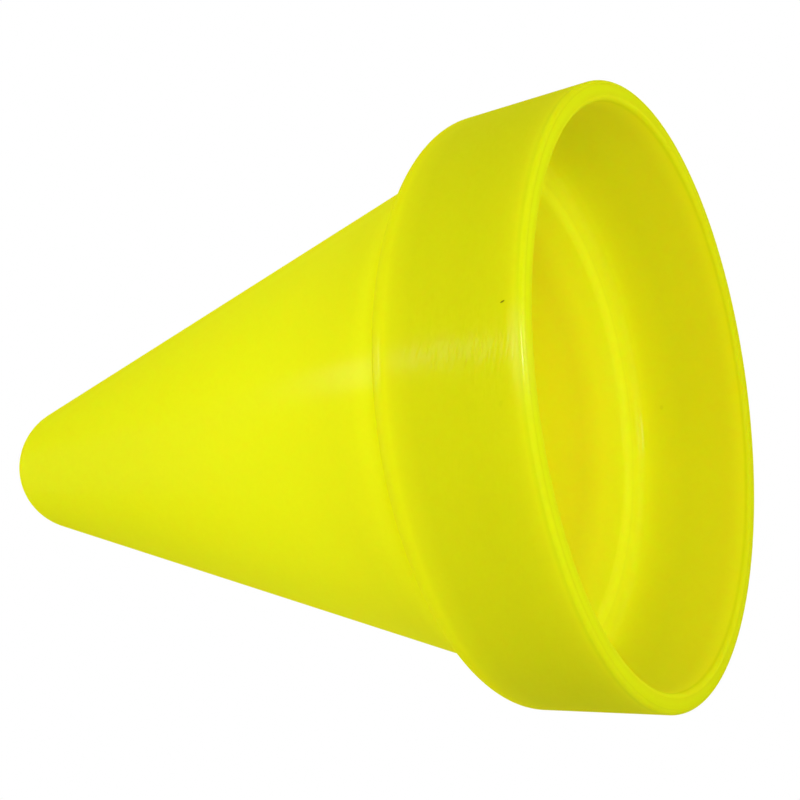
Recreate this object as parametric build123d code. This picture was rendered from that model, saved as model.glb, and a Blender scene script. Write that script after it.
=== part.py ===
from build123d import *
import math
import os

# A stacking sports marker cone in one translucent plastic, hollow and open below.
# It stands mouth down: the rim's face is the plane Z = 0 and +Z points to the tip.

# Driving dimensions, in millimetres, and one angle in degrees
overall_height = 150.0     # from the rim's face to the top of the tip
rim_diameter = 108.0       # outside, at the rim
collar_height = 27.0       # from the rim's face to the top of the shoulder
collar_draft = 2.1         # how far the collar leans out towards the rim
shoulder_width = 6.0       # from the foot of the cone to the outer corner of the collar
tip_radius = 14.0          # outside of the domed tip
cone_wall = 3.5
collar_wall = 3.5
shoulder_wall = 3.5
shoulder_round = 4.0       # outer edge of the shoulder
inner_corner_round = 2.0   # from the inside of the collar to the underside of the shoulder
throat_round = 2.0         # from the underside of the shoulder to the inside of the cone
rim_round = 0.8            # both edges of the rim

# A rounded edge takes at most this share of the wall or step that it is on
most_of_a_step = 0.8
most_of_an_edge = 0.45

# The collar: its outside and inside lean out together, a wall apart
rim_radius = rim_diameter / 2
draft = math.radians(collar_draft)
shoulder_radius = rim_radius - collar_height * math.tan(draft)
underside_height = collar_height - shoulder_wall
collar_wall_across = collar_wall / math.cos(draft)


def collar_inside_radius(height):
    """Radius of the collar's inside at a height above the rim."""
    return rim_radius - collar_wall_across - height * math.tan(draft)


# The cone: a straight line from its foot that runs tangent into the tip's sphere
foot_radius = shoulder_radius - shoulder_width
tip_centre_height = overall_height - tip_radius
foot_to_centre = math.hypot(foot_radius, tip_centre_height - collar_height)
centre_slope = math.atan2(foot_radius, tip_centre_height - collar_height)
half_angle = centre_slope - math.asin(tip_radius / foot_to_centre)
cone_wall_across = cone_wall / math.cos(half_angle)


def cone_inside_radius(height):
    """Radius of the cone's inside at a height above the rim."""
    return foot_radius - cone_wall_across + (collar_height - height) * math.tan(half_angle)


def round_corner(profile, corner, radius):
    """Round the corner of a profile that lies at a point (radius, height)."""
    nearest = profile.vertices().sort_by_distance((corner[0], corner[1], 0))[0]
    return fillet(nearest, radius)


def revolved(profile):
    """Turn a profile, drawn as (radius, height), about the Z axis."""
    return revolve(Plane.XZ * profile, Axis.Z)


def make_cone_body():
    """The domed tip and the conical wall, down to the plane of the shoulder."""
    tip_centre = (0, tip_centre_height)
    lean = math.degrees(half_angle)
    dome = CenterArc(tip_centre, tip_radius, lean, 90 - lean)
    hollow = CenterArc(tip_centre, tip_radius - cone_wall, lean, 90 - lean)
    foot_outside = (foot_radius, collar_height)
    foot_inside = (cone_inside_radius(collar_height), collar_height)
    outline = [
        Line(foot_outside, dome @ 0),
        dome,
        Line(dome @ 1, hollow @ 1),
        hollow,
        Line(hollow @ 0, foot_inside),
        Line(foot_inside, foot_outside),
    ]
    return revolved(make_face(outline))


def make_base_collar():
    """The shoulder, the collar and the rim, with the throat that the cone stands over."""
    rim_inside = (collar_inside_radius(0), 0)
    rim_outside = (rim_radius, 0)
    shoulder_edge = (shoulder_radius, collar_height)
    throat_top = (cone_inside_radius(collar_height), collar_height)
    throat_edge = (cone_inside_radius(underside_height), underside_height)
    inner_corner = (collar_inside_radius(underside_height), underside_height)
    underside_width = inner_corner[0] - throat_edge[0]
    profile = make_face(
        Polyline(rim_inside, rim_outside, shoulder_edge, throat_top, throat_edge, inner_corner, close=True)
    )
    rounds = [
        (shoulder_edge, min(shoulder_round, most_of_a_step * shoulder_width)),
        (throat_edge, min(throat_round, most_of_a_step * shoulder_wall, most_of_an_edge * underside_width)),
        (inner_corner, min(inner_corner_round, most_of_an_edge * underside_width)),
        (rim_inside, min(rim_round, most_of_an_edge * collar_wall)),
        (rim_outside, min(rim_round, most_of_an_edge * collar_wall)),
    ]
    for corner, radius in rounds:
        profile = round_corner(profile, corner, radius)
    return revolved(profile)


nodes = {
    "cone_body": make_cone_body(),
    "base_collar": make_base_collar(),
}

os.makedirs("parts", exist_ok=True)
for name, solid in nodes.items():
    export_step(solid, f"parts/{name}.step")
    print(name, "volume", round(solid.volume / 1000, 1), "cm3")
print("cone half angle", round(math.degrees(half_angle), 2), "degrees")
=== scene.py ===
# %% [markdown]
# # A stacking sports marker cone
#
# The real cone is one hollow moulding in a soft, translucent fluorescent yellow plastic. It has a domed
# tip, a straight cone, a flat shoulder, a short collar that leans out a little, and a rim with a flat
# face. Nothing is printed on it, and nothing is screwed or clipped to it. So its looks come from three
# things only: a true profile, light that soaks through a thin wall, and the faint marks that the mould
# and use have left.
#
# The solid model is loaded first. It is the frame that everything else is measured from, in metres, with
# the rim's face at Z = 0 and the tip towards +Z.

# %% Load the solid model
import math

import bpy
from mathutils import Matrix, Vector


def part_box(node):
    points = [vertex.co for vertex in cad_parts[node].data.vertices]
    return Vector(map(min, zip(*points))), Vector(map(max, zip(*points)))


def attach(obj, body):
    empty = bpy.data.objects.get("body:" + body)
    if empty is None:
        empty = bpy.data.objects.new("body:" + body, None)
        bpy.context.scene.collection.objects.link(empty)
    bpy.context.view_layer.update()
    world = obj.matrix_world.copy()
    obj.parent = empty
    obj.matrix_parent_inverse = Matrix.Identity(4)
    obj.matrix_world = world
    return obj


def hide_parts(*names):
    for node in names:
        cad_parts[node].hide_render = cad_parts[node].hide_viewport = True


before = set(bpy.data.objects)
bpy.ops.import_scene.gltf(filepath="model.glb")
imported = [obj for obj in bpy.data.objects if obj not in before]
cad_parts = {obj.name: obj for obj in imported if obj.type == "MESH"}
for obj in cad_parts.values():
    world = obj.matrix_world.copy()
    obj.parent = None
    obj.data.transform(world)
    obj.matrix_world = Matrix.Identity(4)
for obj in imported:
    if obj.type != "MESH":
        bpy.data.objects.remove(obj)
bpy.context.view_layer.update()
MM = 0.001
print("solids:", sorted(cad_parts))

# %% [markdown]
# ## Sizes
#
# A lathe needs only one drawing: half of the section through the axis. The large sizes are read from the
# solids, so that the drawing can't drift away from them. Walls and rounded edges can't be read from a
# box, so they are written here in millimetres, as a toolmaker would write them on the drawing.

# %% The sizes of the profile
collar_low, collar_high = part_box("base_collar")
_, cone_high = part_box("cone_body")
overall_height = cone_high.z
collar_height = collar_high.z
wall = 3.5 * MM
shoulder_width = 6.0 * MM
tip_radius = 14.0 * MM
collar_draft = math.radians(2.1)

rim_round = 0.8 * MM
shoulder_round = 4.0 * MM
foot_round = 0.7 * MM
inner_corner_round = 2.0 * MM
throat_round = 2.0 * MM

# The collar leans out, so its rounded rim stops a hair short of where the sharp corner would be.
lost_to_rounding = rim_round * ((1 + math.sin(collar_draft)) / math.cos(collar_draft) - 1)
rim_radius = (collar_high.x - collar_low.x) / 2 + lost_to_rounding
for label, length in (("rim radius", rim_radius), ("collar", collar_height), ("height", overall_height)):
    print(label, round(length / MM, 2), "mm")

# %% [markdown]
# ## The profile, as corners with a radius each
#
# A drawing office gives a turned or moulded part as sharp corners first and rounds them afterwards. The
# same works here: ten corners, from the top of the tip, down the outside, across the rim and back up the
# inside. The dome needs no arc of its own. It is the round between the cone and a flat lid, as large as
# the lid allows, so that it ends on the axis.

# %% The corners of the profile
shoulder_radius = rim_radius - collar_height * math.tan(collar_draft)
foot_radius = shoulder_radius - shoulder_width
rise_to_tip_centre = overall_height - tip_radius - collar_height
half_angle = math.atan2(foot_radius, rise_to_tip_centre) - math.asin(
    tip_radius / math.hypot(foot_radius, rise_to_tip_centre)
)
underside_height = collar_height - wall
lid_inside = overall_height - wall


def cone_outside(height):
    """Radius of the cone's outside at a height above the rim."""
    return foot_radius - (height - collar_height) * math.tan(half_angle)


def cone_inside(height):
    """Radius of the cone's inside at a height above the rim."""
    return cone_outside(height) - wall / math.cos(half_angle)


def collar_inside(height):
    """Radius of the collar's inside at a height above the rim."""
    return rim_radius - wall / math.cos(collar_draft) - height * math.tan(collar_draft)


# Name, radius, height and rounding of each corner. Its number in this list, from 0 to 9, is its station.
corners = [
    ("Tip top", 0, overall_height, 0),
    ("Dome", cone_outside(overall_height), overall_height, tip_radius),
    ("Foot", foot_radius, collar_height, foot_round),
    ("Shoulder", shoulder_radius, collar_height, shoulder_round),
    ("Rim outside", rim_radius, 0, rim_round),
    ("Rim inside", collar_inside(0), 0, rim_round),
    ("Inner corner", collar_inside(underside_height), underside_height, inner_corner_round),
    ("Throat", cone_inside(underside_height), underside_height, throat_round),
    ("Hollow dome", cone_inside(lid_inside), lid_inside, tip_radius - wall),
    ("Hollow top", 0, lid_inside, 0),
]
print(len(corners), "corners, half angle of the cone", round(math.degrees(half_angle), 2), "degrees")

# %% [markdown]
# ## One helper for every node tree
#
# Both the shape and the finish are node trees. A node always needs the same three things: its kind, what
# goes into its sockets, and its settings. A socket takes either a plain value or the output of an earlier
# node.

# %% A helper that adds a node
def add_node(tree, kind, inputs=None, **settings):
    """Add a node of a kind, with its settings, and fill or link its inputs by name or number."""
    node = tree.nodes.new(kind)
    for name, value in settings.items():
        setattr(node, name, value)
    for socket, value in (inputs or {}).items():
        if isinstance(value, bpy.types.NodeSocket):
            tree.links.new(value, node.inputs[socket])
        else:
            node.inputs[socket].default_value = value
    return node


print("helper ready:", add_node.__name__)

# %% [markdown]
# ## A lathe in Geometry Nodes
#
# A Screw modifier or a spin in edit mode would also turn the profile. A node tree keeps every size as a
# named input, so that the cone can be changed after it is made, and it rounds the corners by itself. The
# steps are those of a lathe: lay out the corners, join them with a line, round them, and sweep the line
# round a circle. Long straight runs are cut into shorter ones, because a smooth normal next to a tiny
# round would otherwise lean over the whole length of the cone.

# %% The inputs of the lathe tree
lathe = bpy.data.node_groups.new("cone_lathe", "GeometryNodeTree")
lathe_values = {}


def add_input(name, socket_type, value):
    """Give the lathe a named input, and note its value under the socket's identifier."""
    socket = lathe.interface.new_socket(name, in_out="INPUT", socket_type=socket_type)
    lathe_values[socket.identifier] = value


for corner, out, up, rounding in corners:
    add_input(f"{corner} corner", "NodeSocketVector", (out, 0, up))
    add_input(f"{corner} round", "NodeSocketFloat", rounding)
add_input("Points on a round", "NodeSocketInt", 14)
add_input("Sides", "NodeSocketInt", 320)
add_input("Longest face", "NodeSocketFloat", 5.0 * MM)
add_input("Spindle radius", "NodeSocketFloat", 10.0 * MM)
add_input("Weld distance", "NodeSocketFloat", 0.001 * MM)
finish_input = lathe.interface.new_socket("Finish", in_out="INPUT", socket_type="NodeSocketMaterial")
lathe.interface.new_socket("Cone", in_out="OUTPUT", socket_type="NodeSocketGeometry")
print("the lathe has", len(lathe_values) + 1, "named inputs")

# %% The rounded profile
given = add_node(lathe, "NodeGroupInput").outputs
index = add_node(lathe, "GeometryNodeInputIndex").outputs["Index"]
corner_at = add_node(lathe, "GeometryNodeIndexSwitch", {"Index": index}, data_type="VECTOR")
round_at = add_node(lathe, "GeometryNodeIndexSwitch", {"Index": index}, data_type="FLOAT")
for switch, what in ((corner_at, "corner"), (round_at, "round")):
    while len(switch.index_switch_items) < len(corners):
        switch.index_switch_items.new()
    for number, (corner, *_) in enumerate(corners):
        lathe.links.new(given[f"{corner} {what}"], switch.inputs[str(number)])

row = add_node(lathe, "GeometryNodeMeshLine", {"Count": len(corners)})
sharp = add_node(
    lathe,
    "GeometryNodeSetPosition",
    {"Geometry": row.outputs["Mesh"], "Position": corner_at.outputs["Output"]},
)
# Every corner keeps its station, and a point between two corners gets a number in between.
stations = add_node(
    lathe,
    "GeometryNodeStoreNamedAttribute",
    {"Geometry": sharp.outputs["Geometry"], "Name": "station", "Value": index},
    data_type="FLOAT",
    domain="POINT",
)
line = add_node(lathe, "GeometryNodeMeshToCurve", {"Mesh": stations.outputs["Geometry"]})
rounded = add_node(
    lathe,
    "GeometryNodeFilletCurve",
    {
        "Curve": line.outputs["Curve"],
        "Count": given["Points on a round"],
        "Radius": round_at.outputs["Output"],
        "Limit Radius": True,
    },
    mode="POLY",
)
print("profile nodes:", len(lathe.nodes))

# %% Cut the long straight runs
here = add_node(lathe, "GeometryNodeInputPosition").outputs["Position"]
following = add_node(lathe, "GeometryNodeOffsetPointInCurve", {"Point Index": index, "Offset": 1})
there = add_node(
    lathe,
    "GeometryNodeFieldAtIndex",
    {"Index": following.outputs["Point Index"]},
    data_type="FLOAT_VECTOR",
)
lathe.links.new(here, there.inputs["Value"])
run = add_node(lathe, "ShaderNodeVectorMath", {0: here, 1: there.outputs["Value"]}, operation="DISTANCE")
cuts = add_node(
    lathe, "ShaderNodeMath", {0: run.outputs["Value"], 1: given["Longest face"]}, operation="DIVIDE"
)
profile = add_node(
    lathe,
    "GeometryNodeSubdivideCurve",
    {"Curve": rounded.outputs["Curve"], "Cuts": cuts.outputs["Value"]},
)
print("profile and cuts:", len(lathe.nodes), "nodes")

# %% Sweep the profile round the axis
# A sweep lays the profile's X along the radius and its Y down the axis,
# so the drawing is first laid on its back.
lay_back = (math.pi / 2, 0, 0)
to_spindle = add_node(
    lathe, "ShaderNodeMath", {0: given["Spindle radius"], 1: -1.0}, operation="MULTIPLY"
)
shift = add_node(lathe, "ShaderNodeCombineXYZ", {"X": to_spindle.outputs["Value"]})
laid = add_node(
    lathe,
    "GeometryNodeTransform",
    {"Geometry": profile.outputs["Curve"], "Translation": shift.outputs["Vector"], "Rotation": lay_back},
)
spindle = add_node(
    lathe,
    "GeometryNodeCurvePrimitiveCircle",
    {"Resolution": given["Sides"], "Radius": given["Spindle radius"]},
)
turned = add_node(
    lathe,
    "GeometryNodeCurveToMesh",
    {"Curve": spindle.outputs["Curve"], "Profile Curve": laid.outputs["Geometry"]},
)
welded = add_node(
    lathe,
    "GeometryNodeMergeByDistance",
    {"Geometry": turned.outputs["Mesh"], "Distance": given["Weld distance"]},
)
smooth = add_node(lathe, "GeometryNodeSetShadeSmooth", {"Geometry": welded.outputs["Geometry"]})
whole = add_node(lathe, "GeometryNodeRealizeInstances", {"Geometry": smooth.outputs["Geometry"]})
coloured = add_node(
    lathe,
    "GeometryNodeSetMaterial",
    {"Geometry": whole.outputs["Geometry"], "Material": given["Finish"]},
)
add_node(lathe, "NodeGroupOutput", {"Cone": coloured.outputs["Geometry"]})
print("the lathe tree has", len(lathe.nodes), "nodes")

# %% [markdown]
# ## The plastic
#
# The cone is moulded in low-density polyethylene with a fluorescent yellow pigment. The plastic is soft
# and waxy, so it lets light in, scatters it over a few millimetres and lets it out again, also on the
# other side of the wall. That is why the inside glows and why the rim, where the wall is seen edge-on,
# looks lighter and greener. Subsurface scattering in one Principled shader gives most of that. Emission
# would be quicker, but it would also glow in the dark. What scattering alone doesn't give is painted into
# the colour along the profile, on top of the plastic's own yellow: painted light makes the rim greener and
# lighter, the foot and the shoulder's edge paler and the inside and its inner ring glow, and painted shade
# darkens the collar's wall.

# %% Colours
def linear(code):
    """Turn an sRGB hex colour into linear red, green, blue and alpha."""
    shares = [int(code[i : i + 2], 16) / 255 for i in (1, 3, 5)]
    return [c / 12.92 if c <= 0.04045 else ((c + 0.055) / 1.055) ** 2.4 for c in shares] + [1.0]


# Stations and colours, which blend from one to the next. They are matched to the photograph, part by part.
# Besides the plastic's yellow they hold painted light and shade: a paler foot and shoulder edge, a darker
# collar wall, a lighter, greener rim and a glowing inside and inner ring. A colour ramp holds at most 32.
dome_and_cone = [(0.0, "#ECEF0C"), (1.2, "#FBFF0D"), (1.5, "#FAFE0D"), (1.8, "#ECEF0C"), (1.9, "#E4E70C")]
foot_of_cone = [(1.955, "#E5E80C"), (1.98, "#F2F50C"), (2.0, "#FBFE0D")]
shoulder_top = [(2.1, "#EDF10C"), (2.9, "#E9ED0C"), (3.0, "#DCE00C")]
collar_wall = [(3.04, "#D6DA0C"), (3.2, "#CED20A"), (3.6, "#CACE09"), (3.85, "#CBCF0A"), (3.94, "#CDD10B")]
rim_edges = [(3.985, "#CFD50C"), (4.0, "#C0CC0A"), (4.1, "#C9D50A"), (4.5, "#CCD90A"), (5.0, "#CBD40B")]
inside_of_collar = [(5.03, "#E4E51A"), (5.17, "#DFDF19"), (5.6, "#DCDF19"), (5.85, "#E1E319")]
inner_ring = [(5.95, "#E5E71A"), (6.0, "#E8EB1B"), (6.8, "#E5E91C"), (7.0, "#E8ED1C"), (7.02, "#F2F21F")]
inside_of_cone = [(7.05, "#E9E41F"), (7.13, "#F0ED1F")]
outside_plastic_and_painted_light_stops = dome_and_cone + foot_of_cone + shoulder_top + collar_wall + rim_edges
plastic_and_painted_light_stops = outside_plastic_and_painted_light_stops + inside_of_collar + inner_ring + inside_of_cone
print(len(plastic_and_painted_light_stops), "colours along the profile")

# %% The plastic's tree
plastic = bpy.data.materials.new("moulded_fluorescent_polyethylene")
plastic.use_nodes = True
tree = plastic.node_tree
tree.nodes.clear()
on_cone = add_node(tree, "ShaderNodeTexCoord").outputs["Object"]
station = add_node(tree, "ShaderNodeAttribute", attribute_name="station").outputs["Fac"]
last_station = len(corners) - 1
along = add_node(tree, "ShaderNodeMath", {0: station, 1: last_station}, operation="DIVIDE").outputs["Value"]


def fill_ramp(ramp, stops):
    """Give a colour ramp its stops, each a station on the profile and a linear colour."""
    elements = ramp.color_ramp.elements
    while len(elements) < len(stops):
        elements.new(1.0)
    for element, (at, colour) in zip(elements, stops):
        element.position = at / last_station
        element.color = colour


# The colour along the profile: the plastic's yellow with its painted light and shade
colours = add_node(tree, "ShaderNodeValToRGB", {"Fac": along})
fill_ramp(colours, [(at, linear(code)) for at, code in plastic_and_painted_light_stops])
pigment_and_painted_light = colours.outputs["Color"]
print("colours from station 0 to", last_station)

# %% [markdown]
# ## Pigment
#
# Pigment never mixes quite evenly. There are soft clouds a thumb's width across, and a grain that is
# really a few hundredths of a millimetre, drawn coarser here so that it shows. Both only lighten or
# darken the colour by a percent or two. On top come three small marks: a dark fleck near the rim and a
# faint smudge, both from use, and the painted shade of a faint dent, a spot a little darker, since the
# dent has no shape of its own. Each is an egg-shaped patch, laid on the wall by a Mapping node that holds
# its place, its lean and its half sizes. A painted image would do the same, but it would need a UV map and
# a file.

# %% Clouds and grain
clouding = [("clouds", 22 * MM, 0.02), ("grain", 0.9 * MM, 0.012)]
for name, width, strength in clouding:
    cloud_noise = add_node(tree, "ShaderNodeTexNoise", {"Vector": on_cone, "Scale": 1 / width, "Detail": 2.0})
    shade = add_node(
        tree,
        "ShaderNodeMapRange",
        {"Value": cloud_noise.outputs["Fac"], "To Min": 1 - strength, "To Max": 1 + strength},
    )
    pigment_and_painted_light = add_node(
        tree, "ShaderNodeVectorMath", {0: pigment_and_painted_light, "Scale": shade.outputs["Result"]}, operation="SCALE"
    ).outputs["Vector"]
    print("pigment_and_painted_light", name, round(width / MM, 2), "mm wide")


# %% Small marks
def egg_patch(centre, half_sizes, in_middle, even_to, lean=0):
    """A factor that is in_middle in an egg-shaped patch and fades to 1 at its edge; sizes in millimetres."""
    laid_on = add_node(
        tree,
        "ShaderNodeMapping",
        {
            "Vector": on_cone,
            "Location": [c * MM for c in centre],
            "Rotation": (0, math.radians(lean), 0),
            "Scale": [c * MM for c in half_sizes],
        },
        vector_type="TEXTURE",
    )
    off_centre = add_node(tree, "ShaderNodeVectorMath", {0: laid_on.outputs["Vector"]}, operation="LENGTH")
    factor = add_node(
        tree,
        "ShaderNodeMapRange",
        {
            "Value": off_centre.outputs["Value"],
            "From Min": even_to,
            "From Max": 1.0,
            "To Min": in_middle,
            "To Max": 1.0,
        },
        interpolation_type="SMOOTHSTEP",
    )
    return factor.outputs["Result"]


# Place and half sizes in millimetres, lean about Y in degrees, and how much of the colour is left
marks = [
    ("dark fleck", (15.4, -51.6, 3.2), (0.5, 0.18, 0.18), 67, 0.25),
    # The dent has no shape of its own: a spot a little darker is its painted shade.
    ("painted shade of a faint dent", (1.35, -53.8, 4.4), (0.6, 0.4, 0.4), 40, 0.96),
    ("faint smudge", (-3.1, 49.75, 17.6), (0.6, 0.5, 0.5), 0, 0.93),
]
mark_even_to = 0.5
for name, centre, half_sizes, lean, left in marks:
    stain = egg_patch(centre, half_sizes, left, mark_even_to, lean)
    pigment_and_painted_light = add_node(
        tree, "ShaderNodeVectorMath", {0: pigment_and_painted_light, "Scale": stain}, operation="SCALE"
    ).outputs["Vector"]
    print("mark:", name, "at", centre)

# %% [markdown]
# ## Marks of the mould
#
# Soft plastic copies its mould. Short strokes run round the collar a little askew, as from a stone that
# dressed the steel, and fine rings run round the rim, as from a lathe. Both causes are a guess. The wall
# is also not quite true, so highlights wander a little. None of it is as high as a tenth of a millimetre,
# and it shows only where a lamp glances off the wall, so it is bump and not geometry. All the heights are
# added up in metres, so that one Bump node with a distance of 1 m is true for every layer.

# %% Where each layer runs
flat = add_node(tree, "ShaderNodeVectorMath", {0: on_cone, 1: (1, 1, 0)}, operation="MULTIPLY")
outward = add_node(tree, "ShaderNodeVectorMath", {0: flat.outputs["Vector"]}, operation="NORMALIZE")
stroke_length, stroke_pitch, stroke_lean = 3.0 * MM, 0.6 * MM, 0.22
stroke_around = add_node(
    tree,
    "ShaderNodeVectorMath",
    {0: outward.outputs["Vector"], "Scale": rim_radius / stroke_length},
    operation="SCALE",
)
stroke_climb = add_node(
    tree,
    "ShaderNodeVectorMath",
    {0: on_cone, 1: (stroke_lean / stroke_pitch, 0, 1 / stroke_pitch)},
    operation="DOT_PRODUCT",
)
stroke_rise = add_node(tree, "ShaderNodeCombineXYZ", {"Z": stroke_climb.outputs["Value"]})
on_strokes = add_node(
    tree,
    "ShaderNodeVectorMath",
    {0: stroke_around.outputs["Vector"], 1: stroke_rise.outputs["Vector"]},
    operation="ADD",
)

# The rings follow the edge from the face on to the wall, so they are counted by radius less height.
ring_pitch = 0.4 * MM
ring_radius = add_node(tree, "ShaderNodeVectorMath", {0: flat.outputs["Vector"]}, operation="LENGTH")
ring_height = add_node(tree, "ShaderNodeSeparateXYZ", {0: on_cone}).outputs["Z"]
out_and_down = add_node(
    tree, "ShaderNodeMath", {0: ring_radius.outputs["Value"], 1: ring_height}, operation="SUBTRACT"
)
on_rings = add_node(tree, "ShaderNodeCombineXYZ", {"X": out_and_down.outputs["Value"]})
print("strokes", round(stroke_pitch / MM, 2), "mm apart, rings", round(ring_pitch / MM, 2), "mm apart")


# %% The relief
def grey(share):
    """A share as a grey colour, for a ramp that holds a plain number."""
    return (share, share, share, 1.0)


everywhere = None
on_the_collar = [(3.1, 0), (3.3, 1), (3.9, 1), (4.0, 0)]
by_the_rim = [(3.9, 0), (3.97, 1), (4.2, 1), (4.6, 0)]
wave_width, skin_width = 9 * MM, 0.7 * MM
# Name, where the pattern is read, its scale, its height and the stations that it covers.
# The strokes are read in steps of their own length and pitch, so their scale is 1.
relief = [
    ("strokes", on_strokes.outputs["Vector"], 1.0, 0.075 * MM, on_the_collar),
    ("rings", on_rings.outputs["Vector"], 1 / ring_pitch, 0.008 * MM, by_the_rim),
    ("waves", on_cone, 1 / wave_width, 0.03 * MM, everywhere),
    ("skin", on_cone, 1 / skin_width, 0.004 * MM, everywhere),
]
total = None
for name, vector, scale, layer_height, cover in relief:
    relief_noise = add_node(tree, "ShaderNodeTexNoise", {"Vector": vector, "Scale": scale, "Detail": 1.0})
    layer = add_node(
        tree, "ShaderNodeMath", {0: relief_noise.outputs["Fac"], 1: layer_height}, operation="MULTIPLY"
    )
    if cover:
        mask = add_node(tree, "ShaderNodeValToRGB", {"Fac": along})
        fill_ramp(mask, [(at, grey(share)) for at, share in cover])
        layer = add_node(
            tree,
            "ShaderNodeMath",
            {0: layer.outputs["Value"], 1: mask.outputs["Color"]},
            operation="MULTIPLY",
        )
    if total:
        layer = add_node(
            tree, "ShaderNodeMath", {0: total.outputs["Value"], 1: layer.outputs["Value"]}, operation="ADD"
        )
    total = layer
    print("relief:", name, round(layer_height / MM, 4), "mm high")
bump = add_node(tree, "ShaderNodeBump", {"Height": total.outputs["Value"], "Strength": 1.0, "Distance": 1.0})

# %% [markdown]
# ## Sheen
#
# Waxy plastic shines weakly, and at a flat angle it doesn't go white as glass would. So the plastic's own
# reflection is switched off, and a thin coat over only one or two hundredths of the surface takes its
# place. The coat's IOR is matched to the photograph and is higher than a plastic's, because a coat with a
# high IOR gains less towards flat angles. Handling leaves duller and shinier patches, so the share of the
# coat varies, and the roughness under it varies with it. Three spots, at the rim, the shoulder and the
# inner corner, glint more than the rest in the photograph. They are taken to be rubbed by the next cone of
# a stack, and there the coat is several times as strong.

# %% The share of the coat
# Stations and shares: the foot, the shoulder's edge, the rim and the inner corner stand out a little
sheen = [
    (1.5, 0.016),
    (1.9, 0.02),
    (2.0, 0.016),
    (2.9, 0.014),
    (3.0, 0.011),
    (3.08, 0.0165),
    (3.9, 0.0135),
    (3.95, 0.016),
    (3.985, 0.02),
    (4.0, 0.016),
    (4.1, 0.0105),
    (5.9, 0.012),
    (6.0, 0.018),
    (6.2, 0.012),
    (6.8, 0.012),
    (7.0, 0.015),
    (7.05, 0.012),
]
handling_width = 7 * MM
least_sheen, most_sheen = 0.7, 1.3
handling = add_node(
    tree, "ShaderNodeTexNoise", {"Vector": on_cone, "Scale": 1 / handling_width, "Detail": 3.0}
)
unevenness = add_node(
    tree,
    "ShaderNodeMapRange",
    {"Value": handling.outputs["Fac"], "To Min": least_sheen, "To Max": most_sheen},
)
polish = add_node(tree, "ShaderNodeValToRGB", {"Fac": along})
fill_ramp(polish, [(at, grey(share)) for at, share in sheen])
coat_share = add_node(
    tree,
    "ShaderNodeMath",
    {0: polish.outputs["Color"], 1: unevenness.outputs["Result"]},
    operation="MULTIPLY",
)
print(len(sheen), "steps of sheen, patches", round(handling_width / MM, 1), "mm wide")

# %% Rubbed spots
# Place and half sizes in millimetres, and how many times as much sheen there is in the middle
rubbed = [
    ("rim", (8.5, -53.0, 1.0), (12.0, 3.0, 2.0), 9.0),
    ("shoulder", (9.4, -51.0, 25.0), (6.0, 3.0, 2.5), 6.0),
    ("inner corner", (-9.0, 48.9, 22.5), (7.0, 3.0, 2.0), 4.0),
]
rub_even_to = 0.3
for name, centre, half_sizes, gain in rubbed:
    shinier = egg_patch(centre, half_sizes, gain, rub_even_to)
    coat_share = add_node(
        tree, "ShaderNodeMath", {0: coat_share.outputs["Value"], 1: shinier}, operation="MULTIPLY"
    )
    print("rubbed at the", name, gain, "times the sheen")

# %% The shader
dull_roughness, shiny_roughness = 0.48, 0.34
scatter_depth = 3.5 * MM
roughness = add_node(
    tree,
    "ShaderNodeMapRange",
    {"Value": handling.outputs["Fac"], "To Min": dull_roughness, "To Max": shiny_roughness},
)
# Yellow pigment lets red and green light travel far through the wall, and stops blue at once.
shader = add_node(
    tree,
    "ShaderNodeBsdfPrincipled",
    {
        "Base Color": pigment_and_painted_light,
        "Roughness": roughness.outputs["Result"],
        "IOR": 1.5,
        "Specular IOR Level": 0.0,
        "Normal": bump.outputs["Normal"],
        "Subsurface Weight": 1.0,
        "Subsurface Radius": (2.0, 1.2, 0.3),
        "Subsurface Scale": scatter_depth,
        "Coat Weight": coat_share.outputs["Value"],
        "Coat Roughness": 0.17,
        "Coat IOR": 2.2,
        "Coat Normal": bump.outputs["Normal"],
    },
    subsurface_method="RANDOM_WALK",
)
add_node(tree, "ShaderNodeOutputMaterial", {"Surface": shader.outputs["BSDF"]})
print("the plastic has", len(tree.nodes), "nodes")

# %% [markdown]
# ## Turn the cone
#
# The tree runs on an empty mesh. Its inputs are set by each socket's identifier before Blender first
# evaluates it, and the result is then copied to a plain mesh, because the finished model has to carry its
# shape without the tree. The solid model has the cone in two forms, and this one mesh stands for both,
# with no seam.

# %% The marker cone
blank = bpy.data.objects.new("lathe_blank", bpy.data.meshes.new("lathe_blank"))
bpy.context.scene.collection.objects.link(blank)
turning = blank.modifiers.new("turning", "NODES")
turning.node_group = lathe
for identifier, value in lathe_values.items():
    turning[identifier] = value
turning[finish_input.identifier] = plastic
evaluated = blank.evaluated_get(bpy.context.evaluated_depsgraph_get())
cone_mesh = bpy.data.meshes.new_from_object(evaluated)
cone_mesh.name = "marker_cone"
blank.modifiers.remove(turning)
bpy.data.objects.remove(blank)
marker_cone = bpy.data.objects.new("marker_cone", cone_mesh)
bpy.context.scene.collection.objects.link(marker_cone)

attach(marker_cone, "root")
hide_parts("cone_body", "base_collar")
cone_mesh.calc_loop_triangles()
print("marker cone:", len(cone_mesh.vertices), "vertices,", len(cone_mesh.loop_triangles), "triangles")

# %% [markdown]
# ## The floor
#
# The cone stands on a plain pale floor that fades to white. The photograph looks into the mouth, from
# below the rim, so the floor is a one-sided sheet: it shows from above, with the cone's shadow, and is
# clear from below, to the light and to reflections, which see the white room through it.

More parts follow.
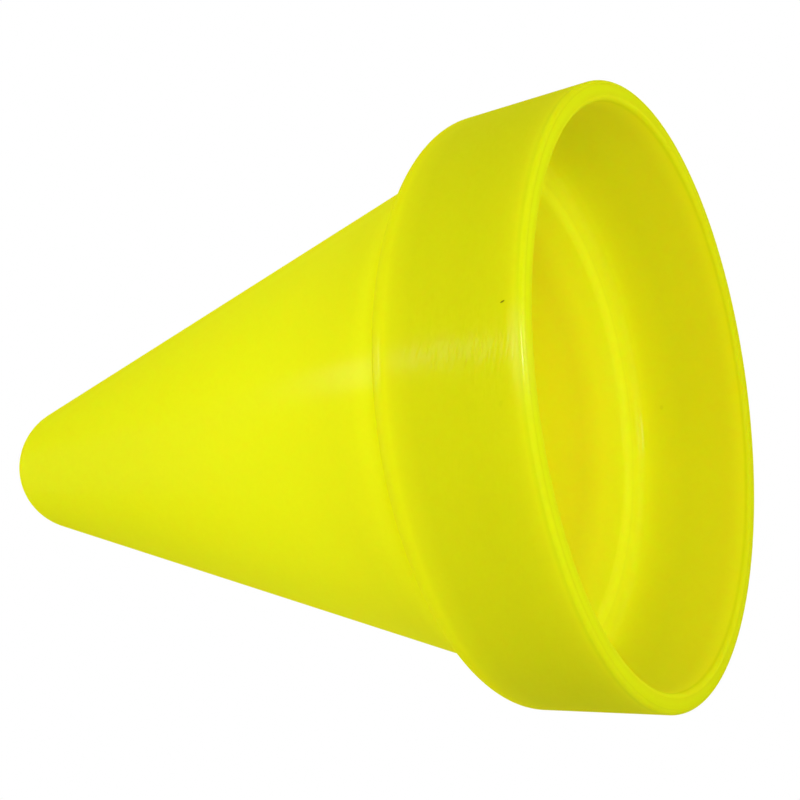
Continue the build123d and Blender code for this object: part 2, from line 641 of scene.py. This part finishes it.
# %% A one-sided floor
# Lengths in metres
floor_radius = 2.0
fade_from, fade_to = 0.12, 0.55
floor_sides = 64
floor_drop = 0.1 * MM
floor_mesh = bpy.data.meshes.new("pale_floor")
floor_edge = []
for side in range(floor_sides):
    turn = 2 * math.pi * side / floor_sides
    floor_edge.append((floor_radius * math.cos(turn), floor_radius * math.sin(turn), -floor_drop))
floor_mesh.from_pydata(floor_edge, [], [list(range(floor_sides))])
floor = bpy.data.objects.new("pale_floor", floor_mesh)
bpy.context.scene.collection.objects.link(floor)
print("floor", floor_radius, "m, white from", fade_to, "m on")

# %% The floor's paper
paper_colour, white_colour = linear("#F4F4F2"), linear("#FFFFFF")
floor_finish = bpy.data.materials.new("pale_paper_floor")
floor_finish.use_nodes = True
paper = floor_finish.node_tree
paper.nodes.clear()
where = add_node(paper, "ShaderNodeTexCoord").outputs["Object"]
away = add_node(paper, "ShaderNodeVectorMath", {0: where}, operation="LENGTH")
fade = add_node(
    paper,
    "ShaderNodeMapRange",
    {"Value": away.outputs["Value"], "From Min": fade_from, "From Max": fade_to},
    interpolation_type="SMOOTHSTEP",
)
sheet = add_node(paper, "ShaderNodeBsdfDiffuse", {"Color": paper_colour})
blank_white = add_node(paper, "ShaderNodeEmission", {"Color": white_colour, "Strength": 1.0})
surface = add_node(
    paper,
    "ShaderNodeMixShader",
    {0: fade.outputs["Result"], 1: sheet.outputs["BSDF"], 2: blank_white.outputs["Emission"]},
)
clear = add_node(paper, "ShaderNodeBsdfTransparent")
floor_ray = add_node(paper, "ShaderNodeLightPath").outputs
behind = add_node(paper, "ShaderNodeNewGeometry").outputs["Backfacing"]
front = add_node(paper, "ShaderNodeMath", {0: 1.0, 1: behind}, operation="SUBTRACT")
shown = add_node(
    paper,
    "ShaderNodeMath",
    {0: front.outputs["Value"], 1: floor_ray["Is Camera Ray"]},
    operation="MULTIPLY",
)
one_sided = add_node(
    paper,
    "ShaderNodeMixShader",
    {0: shown.outputs["Value"], 1: clear.outputs["BSDF"], 2: surface.outputs["Shader"]},
)
add_node(paper, "ShaderNodeOutputMaterial", {"Surface": one_sided.outputs["Shader"]})
floor_mesh.materials.append(floor_finish)
print("floor finish:", floor_finish.name, "with", len(paper.nodes), "nodes")

# %% [markdown]
# ## Studio light
#
# The background is white because the world is white where the camera, a reflection or clear material
# looks at it. What lights the cone is set apart from that. An even, softer room light comes from all
# sides, and eight panels shape it. One hangs overhead. A small one on the tip's side is mirrored as the
# glow along the cone, and a strip beside it as the band across the collar. Two behind the cone fill its
# back. They are kept out of the sheen, because mirrored in it they would turn the sides grey. Three lamps
# stand close by, below and in front of the mouth. Light from so near falls off over the cone's own length,
# which is why the near rim is lighter than the far wall.

# %% The world
room_strength, white_strength = 0.525, 1.0
world = bpy.data.worlds.new("white_studio")
bpy.context.scene.world = world
world.use_nodes = True
sky = world.node_tree
sky.nodes.clear()
sky_ray = add_node(sky, "ShaderNodeLightPath").outputs
seen_or_mirrored = add_node(
    sky, "ShaderNodeMath", {0: sky_ray["Is Camera Ray"], 1: sky_ray["Is Glossy Ray"]}, operation="MAXIMUM"
)
looked_at = add_node(
    sky,
    "ShaderNodeMath",
    {0: seen_or_mirrored.outputs["Value"], 1: sky_ray["Is Transmission Ray"]},
    operation="MAXIMUM",
)
room = add_node(sky, "ShaderNodeBackground", {"Color": white_colour, "Strength": room_strength})
white = add_node(sky, "ShaderNodeBackground", {"Color": white_colour, "Strength": white_strength})
both = add_node(
    sky,
    "ShaderNodeMixShader",
    {0: looked_at.outputs["Value"], 1: room.outputs["Background"], 2: white.outputs["Background"]},
)
add_node(sky, "ShaderNodeOutputWorld", {"Surface": both.outputs["Shader"]})
print("world ready:", world.name)

# %% The lamps
# Name, azimuth and elevation in degrees, distance, width and length in metres, and power in watts
lamps = [
    ("overhead_panel", -90, 85, 1.0, (0.5, 0.5), 1.2),
    ("tip_side_panel", -54.5, 59.7, 1.0, (0.16, 0.07), 0.7),
    ("collar_strip", -66.3, 29.2, 1.0, (0.11, 0.13), 1.05),
    ("back_left_panel", 127, 20, 1.0, (0.5, 0.5), 2.0),
    ("back_right_panel", 55, 20, 1.0, (0.5, 0.5), 1.9),
    ("camera_side_lamp", -72, -34.5, 0.271, (0.05, 0.05), 0.137),
    ("front_panel", -105, -31, 0.24, (0.1, 0.1), 0.107),
    ("mouth_panel", -10, -78, 0.35, (0.2, 0.2), 0.243),
]
# All of them aim at a point a third of the way up the axis.
aim = Vector((0, 0, overall_height / 3))
for name, azimuth, elevation, distance, (width, length), power in lamps:
    around, above = math.radians(azimuth), math.radians(elevation)
    direction = Vector(
        (math.cos(above) * math.cos(around), math.cos(above) * math.sin(around), math.sin(above))
    )
    lamp = bpy.data.lights.new(name, "AREA")
    lamp.shape = "RECTANGLE"
    lamp.size = width
    lamp.size_y = length
    lamp.energy = power
    stand = bpy.data.objects.new(name, lamp)
    bpy.context.scene.collection.objects.link(stand)
    stand.visible_camera = False
    # A positive azimuth is behind the cone, and such a panel only fills.
    stand.visible_glossy = azimuth < 0
    stand.location = aim + direction * distance
    stand.rotation_euler = (-direction).to_track_quat("-Z", "Y").to_euler()
    print(name, "at", [round(c, 3) for c in stand.location], power, "W")

# %% [markdown]
# ## The camera
#
# The photograph shows the cone lying on its side, seen a little from above and into its mouth. The cone
# here stands on its rim, so the camera is the one that is turned: it looks up into the mouth from below,
# with a quarter roll.

# %% The camera at the photograph's view
camera_place = Vector((0, -215.1, -74.4)) * MM
camera_target = Vector((5.01, 0, 51.92)) * MM
camera_roll = math.radians(-97.99)
lens_mm, sensor_mm = 58.34, 36.0
camera = bpy.data.objects.new("camera", bpy.data.cameras.new("camera"))
camera.data.lens = lens_mm
camera.data.sensor_width = sensor_mm
camera.data.clip_start = 1 * MM
look = (camera_target - camera_place).to_track_quat("-Z", "Y").to_matrix()
roll = Matrix.Rotation(camera_roll, 3, "Z")
camera.matrix_world = Matrix.Translation(camera_place) @ (look @ roll).to_4x4()
bpy.context.scene.collection.objects.link(camera)
bpy.context.scene.camera = camera
bpy.context.scene.view_settings.view_transform = "Standard"
axes = camera.matrix_world.to_3x3()
print("camera right", [round(c, 4) for c in axes.col[0]], "up", [round(c, 4) for c in axes.col[1]])
